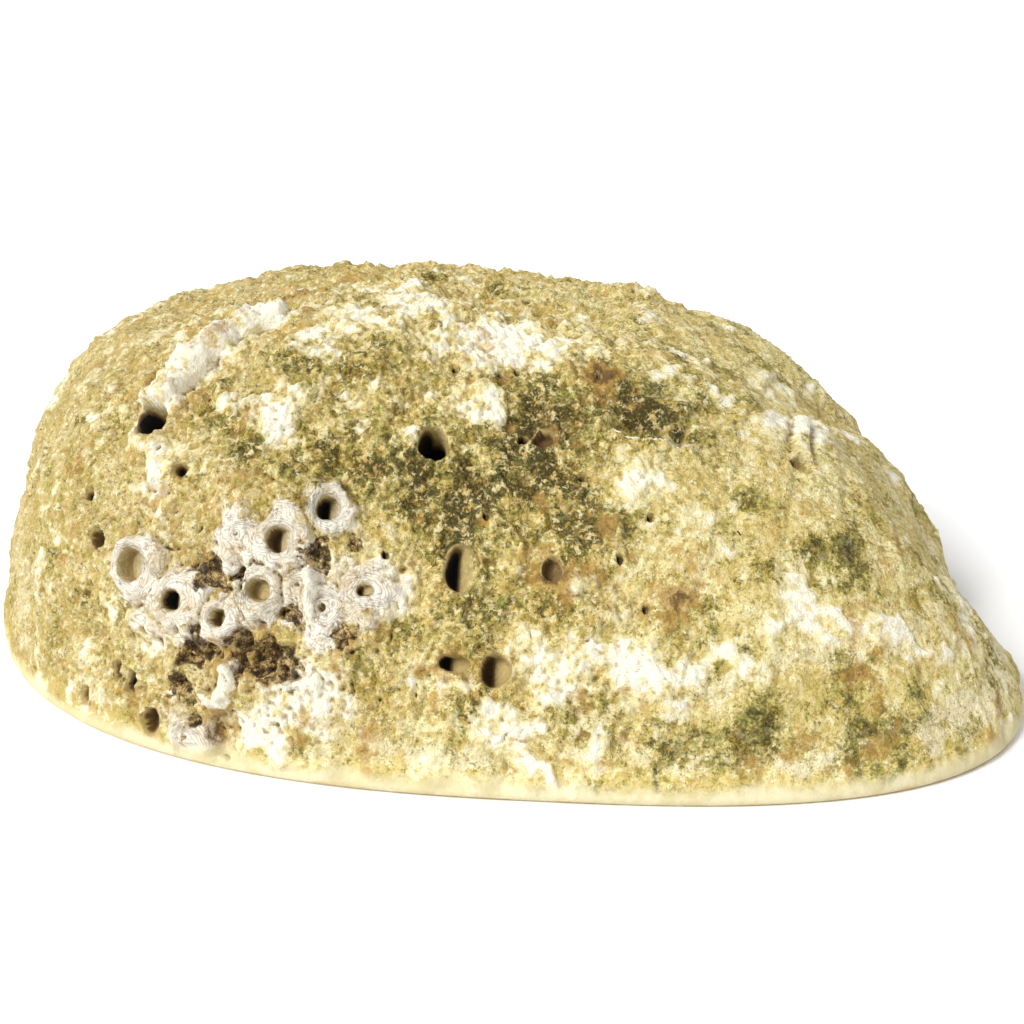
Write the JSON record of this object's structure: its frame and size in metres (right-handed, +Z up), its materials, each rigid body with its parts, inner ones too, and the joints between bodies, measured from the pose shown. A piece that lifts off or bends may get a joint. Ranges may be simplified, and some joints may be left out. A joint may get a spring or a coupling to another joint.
{
  "type": "abalone shell",
  "caption": "Empty abalone shell: a low ear-shaped dome with a small spire, a row of breathing holes and worm tubes outside, open below with a flat inner lip.",
  "frame": {"origin": "middle of the bounding box, on the surface that the margin rests on", "axes": "+X towards the hind end with the spire, -Y towards the side with the breathing holes, +Z up from the mouth to the crown"},
  "size_m": [0.1498, 0.1038, 0.0502],
  "materials": {
    "shell": "matt, chalky and weathered, with a smooth sheen on the inside"
  },
  "bodies": {
    "root": {"shell": "shell"}
  },
  "joints": []
}
